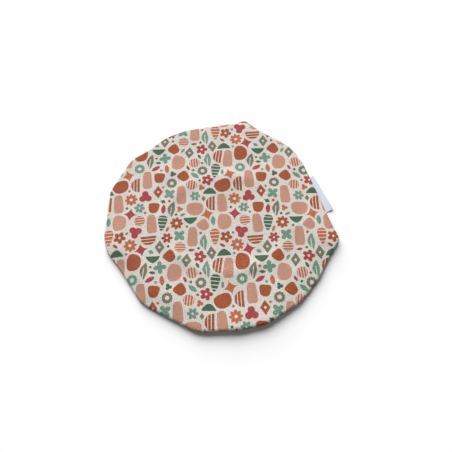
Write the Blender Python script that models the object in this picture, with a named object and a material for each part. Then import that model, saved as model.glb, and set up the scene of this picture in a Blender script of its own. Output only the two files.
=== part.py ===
"""A cloth bowl cover: one round of printed cloth, gathered on an elastic in its hem.

It lies face up, as put down on a table. The flat top panel folds under at its outline, and the
gathered skirt runs back beneath it to the hem, which lifts a low ridge in the panel.
"""

import math

import bmesh
import bpy
import numpy as np

# Lengths are in metres and bearings in degrees, anticlockwise from +X. The table is at Z = 0.

# The cloth, and the gap between two layers that lie on each other
CLOTH_THICKNESS = 0.0008
LAY_GAP = 0.0004

# The outline that the cover lies in: its mean reach from the middle, then each corner's bearing,
# its reach and the radius that rounds it, both as shares of the mean reach
COVER_RADIUS = 0.1255
OUTLINE_CORNERS = (
    (33.5, 0.942, 0.20),
    (48.0, 0.975, 0.13),
    (65.3, 0.965, 0.11),
    (76.3, 1.036, 0.03),
    (109.5, 0.980, 0.32),
    (122.4, 0.982, 0.24),
    (133.2, 0.978, 0.11),
    (144.3, 1.037, 0.08),
    (164.4, 1.055, 0.08),
    (187.0, 1.044, 0.48),
    (196.8, 1.049, 0.18),
    (228.5, 1.017, 0.11),
    (259.2, 1.024, 0.20),
    (279.9, 1.004, 0.48),
    (291.5, 1.008, 0.16),
    (310.4, 0.998, 0.24),
    (327.5, 1.003, 0.32),
    (348.3, 1.064, 0.03),
    (358.8, 0.959, 0.30),
)

# The rim, where the panel folds under: the height of the cloth there, how far the fold bulges, and
# the flat band that it rests on
RIM_HEIGHT = 0.0086
RIM_FOLD = 0.0038
RIM_BAND = 0.0035

# The hem's oval: where its middle lies, its half width and half depth to the elastic, and how far
# its lowest gathers clear the table
HEM_X = 0.0050
HEM_Y = -0.0060
HEM_HALF_WIDTH = 0.0700
HEM_HALF_DEPTH = 0.0570
HEM_CLEARANCE = 0.0001

# The flat elastic, its free space in the casing, the casing's turned edge, and the cloth left
# between the free space and the casing's stitched seam
ELASTIC_WIDTH = 0.0060
ELASTIC_THICKNESS = 0.0010
CHANNEL_GAP = 0.0004
CASING_TURN = 0.0016
SEAM_MARGIN = 0.0026

# The gathers along the hem, and the folds that run in from the outline's corners
GATHERS = 36
GATHER_HEIGHT = 0.0024
CORNER_FOLD_HEIGHT = 0.0026
CORNER_FOLD_SPREAD = 3.5

# The panel's relief: its middle, the lumps of the ridge over the hem, how far the ridge's flat top
# reaches past the casing, and the dip outside the ridge
CENTRE_HEIGHT = 0.0068
RIDGE_LUMPS = 0.0012
RIDGE_MARGIN = 0.0020
PANEL_DIP = 0.0010

# The label: a folded strip that runs from the hem's seam, under the skirt, to past the rim. It
# points along its bearing, beside the hem's middle by its offset, and its end lifts off the table
LABEL_WIDTH = 0.0468
LABEL_BEARING = 24.4
LABEL_OFFSET = -0.0117
LABEL_SHEET = 0.0003
LABEL_FOLD_GAP = 0.0004
LABEL_SHOWS = 0.0088
LABEL_LIFTED_LENGTH = 0.0090
LABEL_LIFT = 0.0015
LABEL_SIDE_ROOM = 0.0060

# How finely the shapes are cut
STEPS_PER_GATHER = 4
ARC_STEPS = 4
LABEL_STEPS = 5

# The panel's rows of points inside the ridge, as shares of the way out and of the rise, and those
# outside it, as shares of the way out and of the dip
INNER_ROWS = ((0.35, 0.04), (0.72, 0.38))
OUTER_ROWS = ((0.45, 1.0), (0.80, 0.6))

# The skirt's rows, as shares of the way in and of the corner folds' height
SKIRT_ROWS = ((0.33, 0.7), (0.66, 1.0), (0.88, 0.6))

# The rim's fold, as turns above and below level in degrees
RIM_TURN = 30

# Levels and offsets that follow from the sizes above
HALF_CLOTH = CLOTH_THICKNESS / 2
CHANNEL = ELASTIC_THICKNESS / 2 + CHANNEL_GAP + HALF_CLOTH
ELASTIC_LEVEL = HEM_CLEARANCE + HALF_CLOTH + GATHER_HEIGHT + CHANNEL
CASING_TOP = ELASTIC_LEVEL + CHANNEL + GATHER_HEIGHT + HALF_CLOTH
CHANNEL_REACH = ELASTIC_WIDTH / 2 + CHANNEL_GAP
TURN_OFFSET = CHANNEL_REACH + CASING_TURN
SEAM_OFFSET = CHANNEL_REACH + SEAM_MARGIN
SEAM_SPLIT = (CLOTH_THICKNESS + LAY_GAP) / 2
RIDGE_HEIGHT = CASING_TOP + LAY_GAP + HALF_CLOTH
LABEL_TOP = 2 * LABEL_SHEET + LABEL_FOLD_GAP
HEM_CENTRE = np.array([HEM_X, HEM_Y])

# Colours as the photograph shows them
CLOTH_COLOUR = (0.66, 0.50, 0.40, 1.0)
ELASTIC_COLOUR = (0.85, 0.84, 0.81, 1.0)
LABEL_COLOUR = (0.80, 0.85, 0.92, 1.0)


def clear_scene():
    """Removes whatever the scene holds."""
    for obj in list(bpy.data.objects):
        bpy.data.objects.remove(obj)


def directions(bearings):
    """Unit vectors in plan for an array of bearings in radians."""
    return np.stack([np.cos(bearings), np.sin(bearings)], axis=1)


def turn_between(first, second):
    """The turn from the second bearing to the first, from minus to plus half a circle."""
    return (first - second + math.pi) % (2 * math.pi) - math.pi


def smooth(x):
    """Rises from 0 to 1 as x does, level at both ends."""
    x = np.clip(x, 0.0, 1.0)
    return x * x * (3 - 2 * x)


def at_level(plan, level):
    """A row of 3-D points from points in plan and their height."""
    return np.column_stack([plan, np.broadcast_to(level, len(plan))])


def rounded_corner(before, corner, after, radius):
    """Points along the arc that rounds one corner."""
    to_before = (before - corner) / np.linalg.norm(before - corner)
    to_after = (after - corner) / np.linalg.norm(after - corner)
    half_angle = math.acos(np.clip(to_before @ to_after, -1, 1)) / 2
    limit = 0.48 * min(np.linalg.norm(before - corner), np.linalg.norm(after - corner))
    tangent = min(radius / math.tan(half_angle), limit)
    radius = tangent * math.tan(half_angle)
    middle = to_before + to_after
    centre = corner + middle / np.linalg.norm(middle) * math.hypot(radius, tangent)
    start = corner + to_before * tangent - centre
    end = corner + to_after * tangent - centre
    first = math.atan2(start[1], start[0])
    sweep = turn_between(math.atan2(end[1], end[0]), first)
    turns = first + sweep * np.linspace(0, 1, ARC_STEPS + 1)
    return centre + radius * directions(turns)


def outline_points():
    """The outline in plan, with rounded corners, centred on its own box."""
    bearings = np.radians([bearing for bearing, _, _ in OUTLINE_CORNERS])
    reaches = COVER_RADIUS * np.array([reach for _, reach, _ in OUTLINE_CORNERS])
    corners = reaches[:, None] * directions(bearings)
    arcs = []
    for i, (_, _, rounding) in enumerate(OUTLINE_CORNERS):
        following = corners[(i + 1) % len(corners)]
        radius = COVER_RADIUS * rounding
        arcs.append(rounded_corner(corners[i - 1], corners[i], following, radius))
    points = np.concatenate(arcs)
    return points - (points.min(axis=0) + points.max(axis=0)) / 2


def corner_bearings(outline):
    """The bearing of the middle of each rounded corner, in radians."""
    middles = outline[ARC_STEPS // 2 :: ARC_STEPS + 1]
    return np.arctan2(middles[:, 1], middles[:, 0])


def outline_reach(outline, bearings):
    """How far the outline reaches from the middle at each bearing, along its straight sides."""
    side = np.roll(outline, -1, axis=0) - outline
    cross = outline[:, 0] * side[:, 1] - outline[:, 1] * side[:, 0]
    reach = np.empty(len(bearings))
    for i, (x, y) in enumerate(directions(bearings)):
        facing = x * side[:, 1] - y * side[:, 0]
        distance = cross / facing
        share = (outline[:, 0] * y - outline[:, 1] * x) / facing
        hit = (share >= -1e-9) & (share <= 1 + 1e-9) & (distance > 0)
        reach[i] = distance[hit].max()
    return reach


def hem_reach(bearings):
    """How far the hem's oval reaches from its own middle at each bearing."""
    widthwise = HEM_HALF_DEPTH * np.cos(bearings)
    depthwise = HEM_HALF_WIDTH * np.sin(bearings)
    return HEM_HALF_WIDTH * HEM_HALF_DEPTH / np.hypot(widthwise, depthwise)


def column_bearings(corners):
    """A bearing for each column of cloth: some to each gather, uneven, and one on each corner."""
    count = GATHERS * STEPS_PER_GATHER
    even = 2 * math.pi * np.arange(count) / count
    bearings = even + 0.018 * (np.sin(5 * even + 0.6) + 0.7 * np.sin(11 * even + 2.1))
    for corner in corners:
        apart = turn_between(bearings, corner)
        nearest = np.abs(apart).argmin()
        bearings[nearest] -= apart[nearest]
    return bearings


def label_axes():
    """Unit vectors in plan along the label and across it."""
    return directions(np.radians([LABEL_BEARING, LABEL_BEARING + 90]))


def label_place(points):
    """Where points in plan lie along the label, from the hem's middle, and across it."""
    along, across = label_axes() @ (points - HEM_CENTRE).T
    return along, across - LABEL_OFFSET


class Cloth:
    """The cover's cloth as rows of points at its mid surface, one point to a column."""

    def __init__(self):
        outline = outline_points()
        corners = corner_bearings(outline)
        self.bearings = column_bearings(corners)
        away = directions(self.bearings)
        self.hem = HEM_CENTRE + hem_reach(self.bearings)[:, None] * away
        self.rim = outline_reach(outline, self.bearings)[:, None] * away
        outward = self.rim - self.hem
        self.outward = outward / np.linalg.norm(outward, axis=1)[:, None]
        self.gather = np.sin(2 * math.pi * np.arange(len(self.bearings)) / STEPS_PER_GATHER)
        self.corner_fold = self.near(corners, math.radians(CORNER_FOLD_SPREAD))
        self.label_start = self.find_label_start()
        self.label_tip = self.find_label_tip()
        self.rim_floor = self.over_label(self.rim, HALF_CLOTH)

    def near(self, corners, spread):
        """1 on a corner's bearing, falling away on both sides of it."""
        apart = turn_between(self.bearings[:, None], corners[None, :])
        return np.exp(-((apart / spread) ** 2)).max(axis=1)

    def out_from_hem(self, distance):
        """Points in plan that far outward from the elastic's line."""
        return self.hem + distance * self.outward

    def find_label_start(self):
        """How far along its own line the label starts, just outside the casing's seam."""
        along, across = label_place(self.out_from_hem(SEAM_OFFSET))
        beside = np.abs(across) < LABEL_WIDTH / 2 + LABEL_SIDE_ROOM
        return along[beside].max() + 2 * LAY_GAP

    def find_label_tip(self):
        """How far along its own line the label ends, past the rim."""
        along, across = label_place(self.rim)
        ahead = along > 0
        order = np.argsort(across[ahead])
        rim = np.interp(0.0, across[ahead][order], along[ahead][order])
        return rim + HALF_CLOTH + LABEL_SHOWS

    def over_label(self, points, level):
        """The level raised where it must be, so that the label passes under the cloth."""
        along, across = label_place(points)
        beside = (np.abs(across) - LABEL_WIDTH / 2) / LABEL_SIDE_ROOM
        covers = 1 - smooth(beside - 1)
        covers = np.where(along > self.label_start - LABEL_SIDE_ROOM, covers, 0.0)
        needed = LABEL_TOP + LAY_GAP + HALF_CLOTH
        return level + covers * np.maximum(0.0, needed - level)

    def ridge(self):
        """The panel's height over the hem, which is lumpy."""
        lumps = np.sin(5 * self.bearings + 0.4) + 0.7 * np.sin(8 * self.bearings + 2.0)
        return RIDGE_HEIGHT + RIDGE_LUMPS * (0.5 + 0.3 * lumps)

    def panel_rows(self):
        """The top panel's rows, from near the middle to the start of the rim's fold."""
        ridge = self.ridge()
        inside = self.out_from_hem(-TURN_OFFSET - RIDGE_MARGIN)
        outside = self.out_from_hem(SEAM_OFFSET + RIDGE_MARGIN)
        edge = self.rim - RIM_FOLD * self.outward
        rows = []
        for share, rise in INNER_ROWS:
            plan = HEM_CENTRE + share * (inside - HEM_CENTRE)
            rows.append(at_level(plan, CENTRE_HEIGHT + rise * (ridge - CENTRE_HEIGHT)))
        rows.append(at_level(inside, ridge))
        rows.append(at_level(self.hem, ridge))
        rows.append(at_level(outside, ridge))
        for share, dip in OUTER_ROWS:
            plan = outside + share * (edge - outside)
            level = ridge + share * (RIM_HEIGHT - ridge) - dip * PANEL_DIP
            rows.append(at_level(plan, level))
        rows.append(at_level(edge, RIM_HEIGHT))
        return rows

    def rim_rows(self):
        """The rim's fold, from below the panel's edge to the flat band that it rests on."""
        edge = self.rim - RIM_FOLD * self.outward
        middle = (RIM_HEIGHT + self.rim_floor) / 2
        rise = (RIM_HEIGHT - self.rim_floor) / 2 * math.sin(math.radians(RIM_TURN))
        return [
            at_level(self.rim, middle + rise),
            at_level(self.rim, middle - rise),
            at_level(edge, self.rim_floor),
            at_level(edge - RIM_BAND * self.outward, self.rim_floor),
        ]

    def skirt_rows(self):
        """The skirt, from the rim's band to the casing's seam, with its folds and gathers."""
        start = self.rim - (RIM_FOLD + RIM_BAND) * self.outward
        seam = self.out_from_hem(SEAM_OFFSET)
        seam_level = ELASTIC_LEVEL - SEAM_SPLIT
        rows = []
        for share, swell in SKIRT_ROWS:
            plan = start + share * (seam - start)
            mean = HALF_CLOTH + share * (seam_level - HALF_CLOTH)
            gathered = share**2 * self.gather * GATHER_HEIGHT / 2
            folded = swell * CORNER_FOLD_HEIGHT * self.corner_fold
            rows.append(at_level(plan, self.over_label(plan, mean + gathered + folded)))
        level = seam_level + self.gather * GATHER_HEIGHT / 2
        rows.append(at_level(seam, self.over_label(seam, level)))
        return rows

    def casing_rows(self):
        """The hem's casing: under the elastic, round its inner edge, and back to the seam above."""
        down = ELASTIC_LEVEL - CHANNEL - GATHER_HEIGHT * (1 - self.gather) / 2
        up = ELASTIC_LEVEL + CHANNEL + GATHER_HEIGHT * (1 + self.gather) / 2
        end = ELASTIC_LEVEL + SEAM_SPLIT + self.gather * GATHER_HEIGHT / 2
        return [
            at_level(self.out_from_hem(CHANNEL_REACH), down),
            at_level(self.out_from_hem(-CHANNEL_REACH), down),
            at_level(self.out_from_hem(-TURN_OFFSET), (down + up) / 2),
            at_level(self.out_from_hem(-CHANNEL_REACH), up),
            at_level(self.out_from_hem(CHANNEL_REACH), up),
            at_level(self.out_from_hem(SEAM_OFFSET), end),
        ]


def add_row(mesh, points):
    """A row's points as vertices."""
    return [mesh.verts.new(point) for point in points]


def bridge(mesh, first, second):
    """Faces between two closed rows, where the second may have twice the points of the first."""
    count = len(first)
    for i in range(count):
        a, b = first[i], first[(i + 1) % count]
        if len(second) == count:
            mesh.faces.new((a, second[i], second[(i + 1) % count], b))
            continue
        near, middle, far = (second[(2 * i + step) % len(second)] for step in range(3))
        mesh.faces.new((a, near, middle))
        mesh.faces.new((a, middle, b))
        mesh.faces.new((b, middle, far))


def make_material(name, colour, roughness):
    """A plain Principled material."""
    material = bpy.data.materials.new(name)
    material.use_nodes = True
    shader = material.node_tree.nodes["Principled BSDF"]
    shader.inputs["Base Color"].default_value = colour
    shader.inputs["Roughness"].default_value = roughness
    shader.inputs["Metallic"].default_value = 0.0
    return material


def add_object(name, mesh, material):
    """Links a finished bmesh as an object, shaded smooth apart from its sharp edges."""
    bmesh.ops.recalc_face_normals(mesh, faces=mesh.faces)
    data = bpy.data.meshes.new(name)
    mesh.to_mesh(data)
    mesh.free()
    data.materials.append(material)
    data.shade_smooth()
    data.set_sharp_from_angle(angle=math.radians(50))
    obj = bpy.data.objects.new(name, data)
    bpy.context.scene.collection.objects.link(obj)
    return obj


def thicken(obj, thickness):
    """Gives a sheet its thickness, half on each side."""
    solidify = obj.modifiers.new("thickness", "SOLIDIFY")
    solidify.thickness = thickness
    solidify.offset = 0.0
    solidify.use_even_offset = True
    solidify.use_rim = True


def build_cover(cloth):
    """The cloth: panel, rim, skirt and casing, one sheet from its middle to its cut edge."""
    mesh = bmesh.new()
    middle = mesh.verts.new((*HEM_CENTRE, CENTRE_HEIGHT))
    rows = [add_row(mesh, row[::2]) for row in cloth.panel_rows()]
    below = cloth.rim_rows() + cloth.skirt_rows() + cloth.casing_rows()
    rows += [add_row(mesh, row) for row in below]
    first = rows[0]
    for i, vertex in enumerate(first):
        mesh.faces.new((middle, vertex, first[(i + 1) % len(first)]))
    for upper, lower in zip(rows, rows[1:]):
        bridge(mesh, upper, lower)
    obj = add_object("cover_cloth", mesh, make_material("printed_cloth", CLOTH_COLOUR, 0.9))
    thicken(obj, CLOTH_THICKNESS)


def build_elastic(cloth):
    """The flat elastic, a closed band that lies in the casing along the hem's oval."""
    mesh = bmesh.new()
    rows = []
    for side, height in ((1, 1), (1, -1), (-1, -1), (-1, 1)):
        plan = cloth.out_from_hem(side * ELASTIC_WIDTH / 2)[::2]
        level = ELASTIC_LEVEL + height * ELASTIC_THICKNESS / 2
        rows.append(add_row(mesh, at_level(plan, level)))
    for i, row in enumerate(rows):
        bridge(mesh, row, rows[(i + 1) % len(rows)])
    add_object("elastic_band", mesh, make_material("woven_elastic", ELASTIC_COLOUR, 0.8))


def label_profile(start, tip):
    """The label's mid line in section: out along the table, round its fold, and back on top."""
    bend = (LABEL_SHEET + LABEL_FOLD_GAP) / 2
    fold = tip - bend - LABEL_SHEET / 2
    leaves = tip - LABEL_LIFTED_LENGTH
    low = LABEL_SHEET / 2
    high = low + 2 * bend
    lifted = np.linspace(leaves, fold, LABEL_STEPS)
    lift = LABEL_LIFT * ((lifted - leaves) / (fold - leaves)) ** 2
    turns = np.radians(np.linspace(-90, 90, LABEL_STEPS)[1:-1])
    out = [(start, low), *zip(lifted, low + lift)]
    fold_x = fold + bend * np.cos(turns)
    fold_z = low + bend + LABEL_LIFT + bend * np.sin(turns)
    back = [*zip(lifted[::-1], high + lift[::-1]), (start, high)]
    return [*out, *zip(fold_x, fold_z), *back]


def build_label(cloth):
    """The label, one strip folded double."""
    along, across = label_axes()
    mesh = bmesh.new()
    pairs = []
    for distance, level in label_profile(cloth.label_start, cloth.label_tip):
        centre = HEM_CENTRE + distance * along + LABEL_OFFSET * across
        ends = [centre + side * LABEL_WIDTH / 2 * across for side in (-1, 1)]
        pairs.append([mesh.verts.new((*end, level)) for end in ends])
    for (a, b), (c, d) in zip(pairs, pairs[1:]):
        mesh.faces.new((a, b, d, c))
    obj = add_object("folded_label", mesh, make_material("satin_label", LABEL_COLOUR, 0.5))
    thicken(obj, LABEL_SHEET)


def build():
    """The whole cover."""
    clear_scene()
    cloth = Cloth()
    build_cover(cloth)
    build_elastic(cloth)
    build_label(cloth)


build()
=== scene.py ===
"""A printed cloth bowl cover that lies face up on a pale table: the finished surfaces.

The cloth is one closed sheet with its ridge, folds and gathers. Its print is a family of cut-paper
shapes, which a seeded layout packs into a tile that repeats across the flat cloth.
"""

import math

import bpy
import numpy as np
from mathutils import Matrix, Vector
from mathutils.bvhtree import BVHTree


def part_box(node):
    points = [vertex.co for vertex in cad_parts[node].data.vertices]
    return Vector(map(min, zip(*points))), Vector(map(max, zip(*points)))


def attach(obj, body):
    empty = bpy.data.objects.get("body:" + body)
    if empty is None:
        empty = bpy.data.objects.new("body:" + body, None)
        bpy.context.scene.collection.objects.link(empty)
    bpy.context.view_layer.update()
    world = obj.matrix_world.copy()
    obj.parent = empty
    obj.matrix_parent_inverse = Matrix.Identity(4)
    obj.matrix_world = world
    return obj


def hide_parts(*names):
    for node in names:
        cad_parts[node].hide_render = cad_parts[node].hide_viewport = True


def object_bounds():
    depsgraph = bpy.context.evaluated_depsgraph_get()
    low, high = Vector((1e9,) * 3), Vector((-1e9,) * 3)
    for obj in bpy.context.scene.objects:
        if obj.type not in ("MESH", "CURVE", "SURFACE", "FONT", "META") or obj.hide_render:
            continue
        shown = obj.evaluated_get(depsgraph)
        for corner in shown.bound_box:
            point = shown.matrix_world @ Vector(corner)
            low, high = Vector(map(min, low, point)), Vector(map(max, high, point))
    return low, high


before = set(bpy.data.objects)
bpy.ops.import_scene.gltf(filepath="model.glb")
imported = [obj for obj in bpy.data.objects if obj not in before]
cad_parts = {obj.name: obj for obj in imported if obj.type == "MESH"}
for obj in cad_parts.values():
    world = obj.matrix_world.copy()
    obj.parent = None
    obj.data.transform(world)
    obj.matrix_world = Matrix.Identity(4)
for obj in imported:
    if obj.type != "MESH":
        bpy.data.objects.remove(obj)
CAD_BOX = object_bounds()

# Lengths are in metres and bearings in degrees, anticlockwise from +X. The table is at Z = 0. The
# tables round the rim pair bearings with millimetres or shares.
MILLIMETRE = 0.001

# The cloth's thickness, its gap to the table, and how finely it is cut
CLOTH = 0.0005
TABLE_GAP = 0.00005
COLUMNS = 576
ROW_STEP = 0.00135
SKIRT_STEP = 0.0018
WIDEST_FACE = 0.0014
COARSEST_STRIDE = 32

# The rim: the level where the solid's outline is read, how far the fold bulges, and its rows
OUTLINE_LEVEL = 0.0045
RIM_FOLD = 0.0040
RIM_ROWS = 14

# How far down the fold is widest, as a share of its height
WIDEST = (
    (5, 0.35), (60, 0.3), (170, 0.35), (192, 0.7), (236, 0.7), (250, 0.36), (264, 0.26),
    (312, 0.26), (326, 0.5), (350, 0.65),
)

# The height of the cloth's top at the rim
RIM_HEIGHT = (
    (5, 7.2), (30, 6.8), (60, 7), (130, 7), (160, 6.8), (180, 6.4), (198, 5.2), (230, 5.4),
    (244, 6.6), (262, 7.7), (276, 8.8), (292, 8.8), (302, 8), (314, 6.4), (326, 5.6),
    (336, 6.1), (345, 7.2), (356, 7.4),
)

# Where the slope to the rim starts and would end, as a share of the way out past the hem
SLOPE_START = (
    (10, 0.4), (50, 0.3), (170, 0.35), (188, 0.72), (240, 0.72), (255, 0.7), (305, 0.68),
    (318, 0.5), (332, 0.6), (346, 0.6), (358, 0.5),
)
SLOPE_END = 1.1

# How far in from the outline the panel starts to turn down
TURN_DOWN = (
    (0, 2.2), (20, 2.8), (180, 2.6), (195, 2.4), (230, 2.6), (246, 3.6), (262, 3.8),
    (300, 3.8), (318, 3.4), (332, 2.4), (348, 1.8),
)

# How far the cloth reaches past the solid cover's outline
REACH = (
    (20, 0.3), (32, -0.4), (40, 1), (50, 0.3), (58, 1.4), (66, 1.6), (73, 0.9), (80, 1.2),
    (88, 0.4), (94, 0.7), (106, 0.2), (120, 1.2), (130, 1.4), (138, 0.2), (150, 0.3),
    (172, -0.1), (180, -0.3), (189, 1.3), (197, 0), (207, -1.3), (222, -0.5), (240, 0.4),
    (262, 0), (282, 0.3), (295, 1.4), (318, 2), (328, 0.9), (336, -0.4), (343, -0.5),
    (349, 1), (358, 1.3),
)

# A second fold that shows past the rim: its strength, how far that draws the fold above in and the
# second one out, and the strength at which it is whole
LIP = (
    (34, 0), (38, 0.35), (42, 0.7), (48, 0.8), (54, 0.9), (60, 0.7), (66, 0.8), (73, 0.8),
    (75.5, 1.2), (77.5, 1.9), (80, 1), (82.5, 0.1), (84, 0),
)
LIP_INSET = 0.0012
LIP_OUTSET = 0.0022
FULL_LIP = 0.6

# The lip's groove: how far in and down it lies, as shares of the fold
GROOVE_INSET = 0.20
GROOVE_DROP = 0.455

# How far the outline, its corners and the tables are smoothed, in columns
OUTLINE_BLUR = 1.6
CORNER_BLUR = 4.0
TABLE_BLUR = 2.0

# The panel: its middle, its level beside the ridge, the ridge over the hem with its lumps, the dip
# outside it, the folds at the corners, and ripples, each with its length and height
CENTRE_HEIGHT = 0.0086
FOOT_HEIGHT = 0.0087
RIDGE_HEIGHT = 0.0009
RIDGE_LUMPS = 0.0004
RIDGE_WIDTH = 0.0075
RIDGE_SHIFT = 0.0005
PANEL_DIP = 0.0004
CORNER_FOLD = 0.0003
LUMPS = ((5, 0.9, 1.0), (8, 2.6, 0.8))
RIPPLES = ((0.055, 0.00022), (0.030, 0.00012), (0.013, 0.00004))
RIPPLE_SEED = 30
SKIRT_RIPPLE = (0.022, 0.0003)
SKIRT_SEED = 50

# The elastic and its casing, whose path is in millimetres out from the elastic and in shares up
ELASTIC_WIDTH = 0.006
SEAM_OFFSET = 0.0060
CASING_BACK = 0.0050
CASING_END = 0.0063
SEAM_SPLIT = 0.00058
CHANNEL = 0.0011
CASING_PATH = (
    (3.3, 0), (1.1, 0), (-1.1, 0), (-3.3, 0), (-4.6, 0.16), (-5.1, 0.5), (-4.6, 0.84),
    (-3.3, 1), (-1.1, 1), (1.1, 1), (3.3, 1),
)

# The gathers at the hem, how unevenly they are spread, and the wider folds that they run into
GATHERS = 72
GATHER_SPREAD = ((5, 0.7, 0.030), (11, 2.4, 0.018))
GATHER_HEIGHT = 0.0026
WIDE_FOLD = 0.0016
WIDEST_FOLD = 0.0011

# A stitch: the columns that it takes and the share of them that it spans, its points and height
STITCH_COLUMNS = 4
STITCH_SHARE = 0.8
STITCH_POINTS = 9
STITCH_HEIGHT = 0.00006
THREAD_RADIUS = 0.00016

# The label: the way that it points, its tape, how its end lifts, and its room under the cloth
LABEL_BEARING = 24.4
TAPE = 0.00028
TAPE_GAP = 0.00030
TAPE_LIFTED = 0.0095
TAPE_LIFT = (0.0016, 0.0007)
LABEL_ROOM = 0.0060
LABEL_MEETING = 0.0002
LABEL_FLAT = (0.047, 0.0896)

# The print: the tile that repeats, how finely it is laid out, and the ground between motifs
TILE = (0.118, 0.134)
TILE_CELL = 0.0005
MOTIF_GAP = 0.0018
LAYOUT_SEED = 11
LAYOUT_TRIES = 1500
FARTHEST = 0.008

# How far apart motifs of one kind should lie, what nearer costs, how freely sizes mix, and how far
# apart one ink's motifs should lie, against how short that ink is of its share
KIND_APART = 0.045
KIND_COST = 0.0035
SIZE_SPREAD = 0.45
INK_APART = 0.03
INK_SHARE_WEIGHT = 3

# The gaps between stripes, the veins, and how the ink meets the cloth
STRIPE_GAP = 0.0009
VEIN_SHARE = 0.35
INK_BLEED = 0.00012
HAND_CUT = 0.0003
HAND_CUT_LENGTH = 0.0028
REVERSE_STRENGTH = 0.30

# The canvas: its threads' pitch, and the size of what varies it
THREAD_PITCH = 0.00055
THREAD_DRIFT = 0.004
SLUB_LENGTH = 0.0085
SLUB_WIDTH = 0.0005
MOTTLE = 0.0022
SPECKLE = 0.0011
CREASE = 0.006

# How much painted shade darkens the rim's fold where it has a lip, and the share of that elsewhere
PAINTED_FOLD_SHADE_STRENGTH = 0.45
PLAIN_PAINTED_FOLD_SHADE = 0.3


def linear(red, green, blue):
    """A colour given as 0 to 255 on screen, as the shader's own numbers."""
    return tuple((value / 255) ** 2.2 for value in (red, green, blue))


GROUND = linear(214, 207, 198)

# Each ink's colour and the share of the printed area that it takes
INKS = {
    "terracotta": (linear(154, 75, 41), 0.26),
    "peach": (linear(189, 138, 118), 0.24),
    "coral": (linear(181, 100, 68), 0.12),
    "mint": (linear(105, 140, 121), 0.12),
    "crimson": (linear(160, 59, 65), 0.10),
    "green": (linear(57, 93, 69), 0.10),
    "olive": (linear(114, 110, 92), 0.06),
}

WARM = ("terracotta", "coral", "crimson")
COOL = ("mint", "green", "olive")

# The motifs: how many, half width and height in millimetres, and what shapes the edge
ALL_WAYS = (0, 30, 60, 90, 120, 150)
PLAIN = dict(
    norm=2.0, lobes=0.0, tip_power=0.5, depth=0.0, hole=-1.0, clip=-1.0, stripes=1.0, vein=-1.0,
    taper=0.0, bend=0.0, tilt=(0,),
)
LARGE = (
    (6, 5.4, 11.2, dict(norm=4, taper=-0.13, inks=("peach",))),
    (5, 9.4, 7.8, dict(norm=2.5, taper=0.14, tilt=(0, 20, 90), inks=("peach", "terracotta"))),
    (4, 8.8, 8.8, dict(clip=-1.35, stripes=3.6, tilt=(0, 180, 90), inks=("terracotta", "coral"))),
    (3, 7.4, 7.4, dict(lobes=8, depth=0.34, hole=1.8, inks=WARM)),
    (3, 7.0, 7.0, dict(lobes=5, depth=0.45, hole=1.4, inks=WARM)),
    (4, 7.6, 7.6, dict(lobes=3, depth=0.48, tilt=(90, 30), inks=WARM)),
    (5, 7.0, 7.0, dict(lobes=4, depth=0.60, tilt=(0, 45), inks=COOL)),
    (4, 6.2, 6.2, dict(lobes=12, tip_power=1, depth=0.14, hole=2.3, inks=COOL)),
    (4, 6.0, 6.0, dict(stripes=3, tilt=(0, 90), inks=("mint", "peach", "coral"))),
    (7, 4.2, 9.4, dict(norm=1.3, vein=0.5, bend=1.6, tilt=(0, 25, -25), inks=COOL)),
    (5, 5.4, 8.0, dict(norm=1, hole=1.4, inks=("mint", "olive", "terracotta"))),
    (4, 8.4, 8.4, dict(norm=0.62, tilt=(0, 20), inks=WARM)),
    (4, 4.6, 9.2, dict(norm=2.6, taper=0.45, stripes=4.2, inks=("green", "terracotta", "coral"))),
    (6, 6.0, 6.4, dict(norm=3.2, taper=0.22, tilt=(0, 45), inks=("terracotta", "coral", "peach"))),
    (4, 7.8, 7.8, dict(norm=1.5, clip=0, tilt=(0, 180, 30),
                       inks=("crimson", "green", "terracotta"))),
    (4, 6.2, 6.2, dict(lobes=6, tip_power=0.4, depth=0.5, hole=1.2, inks=("crimson", "mint"))),
)
SMALL = (
    (12, 2.6, 5.6, dict(norm=1.6, tilt=ALL_WAYS, inks=WARM + COOL)),
    (6, 3.8, 3.4, dict(norm=2.4, taper=0.15, inks=("peach", "coral", "terracotta"))),
    (5, 3.8, 3.8, dict(lobes=3, depth=0.5, inks=("crimson", "coral", "green"))),
    (8, 1.8, 4.6, dict(norm=3, tilt=(0, 45, 90, 135), inks=WARM + ("peach",))),
    (5, 3.0, 3.0, dict(lobes=4, depth=0.4, inks=WARM + COOL)),
    (6, 2.4, 3.6, dict(norm=1.1, tilt=(0, 60, 120), inks=COOL + ("terracotta",))),
    (14, 1.6, 3.4, dict(norm=1.7, tilt=ALL_WAYS, inks=WARM + COOL)),
    (20, 1.5, 1.5, dict(inks=WARM + COOL)),
)
LENGTHS = ("width", "height", "hole", "clip", "stripes", "vein", "bend")
TILT_JITTER = 8

# The camera, read from the photograph
IMAGE_SIZE = 452
FOCAL_PIXELS = 455
CAMERA_PLACE = (0.0119, -0.1941, 0.4805)
CAMERA_FORWARD = (-0.0124, 0.3623, -0.9320)
CAMERA_UP = (0.0113, 0.9320, 0.3622)

# The light: the share of it that is the lamp's, where that stands and how wide it looks
LAMP_SHARE = 0.87
LAMP_BEARING = 105
LAMP_ELEVATION = 36
LAMP_WIDTH = 60
FLOOR_SIZE = 6.0
FLOOR_WHITE = 1.0
FLOOR_GLOW = 0.01
FLOOR_BOUNCE = 0.5


# Plain geometry


def directions(bearings):
    """Unit vectors in plan for an array of bearings in radians."""
    return np.stack([np.cos(bearings), np.sin(bearings)], axis=-1)


def unit(vectors):
    """Vectors at a length of 1."""
    return vectors / np.linalg.norm(vectors, axis=-1, keepdims=True)


def smooth(x):
    """Rises from 0 to 1 as x does, level at both ends."""
    x = np.clip(x, 0.0, 1.0)
    return x * x * (3 - 2 * x)


def waves(bearings, table):
    """Waves round the cover, each with its count, the bearing where it starts, and its height."""
    return sum(height * np.sin(count * bearings + start) for count, start, height in table)


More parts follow.
